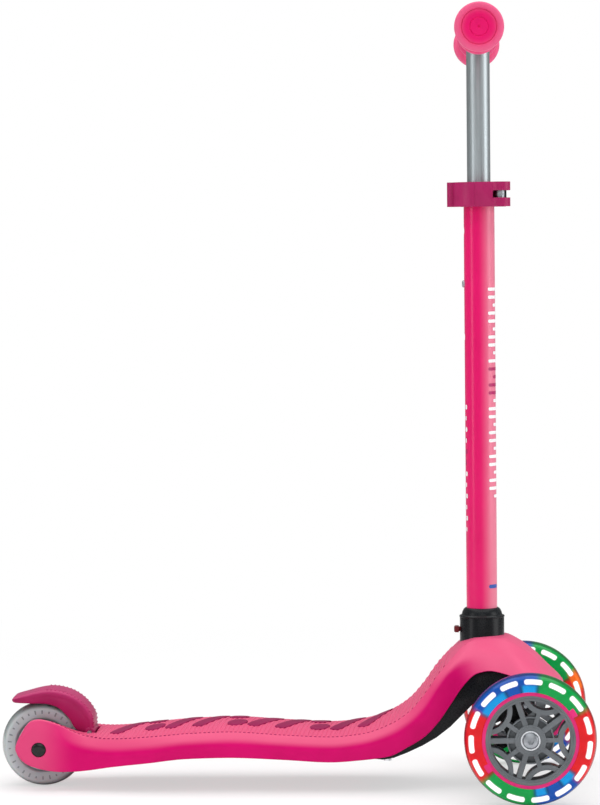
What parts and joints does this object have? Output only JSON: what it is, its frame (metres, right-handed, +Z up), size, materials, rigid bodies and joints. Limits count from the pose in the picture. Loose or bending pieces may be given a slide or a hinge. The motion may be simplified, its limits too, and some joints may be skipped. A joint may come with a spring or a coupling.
{
  "type": "kick scooter",
  "caption": "Child's lean-to-steer kick scooter with two lit front wheels, a foot-braked rear wheel, a moulded deck and a telescopic T-bar",
  "frame": {"origin": "on the ground, under the middle of the bounding box of the scooter at rest", "axes": "+Z up along the steering column, +X forward from the rear wheel to the front wheels, +Y to the rider's left"},
  "size_m": [0.5606, 0.275, 0.729],
  "materials": {
    "pink_moulding": "satin moulded plastic",
    "magenta_moulding": "fine matt moulded plastic",
    "black_plastic": "satin moulded plastic",
    "pink_paint": "gloss paint on aluminium tube",
    "anodised_tube": "satin anodised",
    "pink_rubber": "soft satin elastomer",
    "red_plastic": "moulded plastic",
    "steel": "zinc-plated and polished",
    "grey_urethane": "translucent cast urethane",
    "clear_urethane": "translucent cast urethane lit from inside",
    "grey_hub": "satin moulded nylon",
    "pink_rim": "moulded plastic",
    "light_window": "light-diffusing insert",
    "led_module": "potted light module"
  },
  "bodies": {
    "deck_assembly": {"deck": "pink_moulding", "deck_inlays": "magenta_moulding", "under_chassis": "black_plastic", "chassis_screws": "steel", "bar_socket": "black_plastic", "socket_cap": "black_plastic", "rear_axle": "steel", "rear_axle_caps": "black_plastic", "brake_pin": "steel", "brake_spring": "steel", "kingpins": "steel", "kingpin_nuts": "steel", "centring_springs": "steel"},
    "release_button": {"release_button": "red_plastic"},
    "column": {"lower_tube": "pink_paint", "top_bush": "black_plastic", "clamp_collar": "magenta_moulding", "clamp_bolt": "steel", "clamp_nut": "steel", "cam_pin": "steel", "cam_washer": "black_plastic", "latch_clip": "steel"},
    "clamp_lever": {"clamp_lever": "magenta_moulding"},
    "handlebar": {"upper_tube": "anodised_tube", "crossbar": "anodised_tube", "left_grip": "pink_rubber", "right_grip": "pink_rubber", "foot_bush": "black_plastic", "snap_spring": "steel"},
    "snap_button": {"snap_button": "steel"},
    "rear_brake": {"rear_brake": "magenta_moulding", "brake_pad": "steel"},
    "rear_wheel": {"rear_tyre": "grey_urethane", "rear_hub": "grey_hub", "rear_bearings": "steel", "rear_spacer": "steel"},
    "tie_rod": {"tie_rod": "black_plastic"},
    "left_knuckle": {"left_knuckle": "black_plastic", "left_kingpin_bushes": "black_plastic", "left_axle_bolt": "steel", "left_tie_pin": "steel"},
    "left_wheel": {"left_wheel_tyre": "clear_urethane", "left_wheel_rim_ring": "pink_rim", "left_wheel_hub": "grey_hub", "left_wheel_bearings": "steel", "left_wheel_bearing_spacer": "steel", "left_wheel_light_windows": "light_window", "left_wheel_led_modules": "led_module"},
    "right_knuckle": {"right_knuckle": "black_plastic", "right_kingpin_bushes": "black_plastic", "right_axle_bolt": "steel", "right_tie_pin": "steel"},
    "right_wheel": {"right_wheel_tyre": "clear_urethane", "right_wheel_rim_ring": "pink_rim", "right_wheel_hub": "grey_hub", "right_wheel_bearings": "steel", "right_wheel_bearing_spacer": "steel", "right_wheel_light_windows": "light_window", "right_wheel_led_modules": "led_module"}
  },
  "joints": [
    {"name": "rear_wheel_spin", "type": "hinge", "parent": "deck_assembly", "child": "rear_wheel", "pos_m": [-0.2403, 0, 0.04], "axis": [0, 1, 0], "continuous": true},
    {"name": "left_steer", "type": "hinge", "parent": "deck_assembly", "child": "left_knuckle", "pos_m": [0.205, 0.086, 0.072], "axis": [-0.4226, 0, 0.9063], "range_deg": [-12, 12], "stiffness_Nm_per_rad": 4},
    {"name": "right_steer", "type": "hinge", "parent": "deck_assembly", "child": "right_knuckle", "pos_m": [0.205, -0.086, 0.072], "axis": [-0.4226, 0, 0.9063], "range_deg": [-12, 12], "stiffness_Nm_per_rad": 4},
    {"name": "tie_rod_pivot", "type": "hinge", "parent": "left_knuckle", "child": "tie_rod", "pos_m": [0.17419, 0.086, 0.05763], "axis": [-0.4226, 0, 0.9063], "range_deg": [-12, 12]},
    {"name": "left_wheel_spin", "type": "hinge", "parent": "left_knuckle", "child": "left_wheel", "pos_m": [0.2198, 0.12, 0.0605], "axis": [0, 1, 0], "continuous": true},
    {"name": "right_wheel_spin", "type": "hinge", "parent": "right_knuckle", "child": "right_wheel", "pos_m": [0.2198, -0.12, 0.0605], "axis": [0, 1, 0], "continuous": true},
    {"name": "brake_press", "type": "hinge", "parent": "deck_assembly", "child": "rear_brake", "pos_m": [-0.1945, 0, 0.053], "axis": [0, -1, 0], "range_deg": [0, 3.2], "stiffness_Nm_per_rad": 1.5, "springref_deg": -5.73},
    {"name": "column_lift", "type": "slide", "parent": "deck_assembly", "child": "column", "axis": [0, 0, 1], "range_m": [0, 0.075]},
    {"name": "release_press", "type": "slide", "parent": "deck_assembly", "child": "release_button", "axis": [1, 0, 0], "range_m": [0, 0.0035], "stiffness_N_per_m": 400, "springref_m": -0.002, "deforming": ["latch_clip"]},
    {"name": "lever_open", "type": "hinge", "parent": "column", "child": "clamp_lever", "pos_m": [0.1973, -0.023, 0.558], "axis": [0, 0, 1], "range_deg": [0, 150]},
    {"name": "bar_height", "type": "slide", "parent": "column", "child": "handlebar", "axis": [0, 0, 1], "range_m": [-0.05, 0.05], "deforming": ["snap_spring", "snap_button"]},
    {"name": "snap_press", "type": "slide", "parent": "handlebar", "child": "snap_button", "axis": [1, 0, 0], "range_m": [0, 0.004], "stiffness_N_per_m": 400, "springref_m": -0.002}
  ],
  "couplings": [
    {"joint": "right_steer", "follows": "left_steer", "ratio": 1},
    {"joint": "tie_rod_pivot", "follows": "left_steer", "ratio": -1}
  ]
}
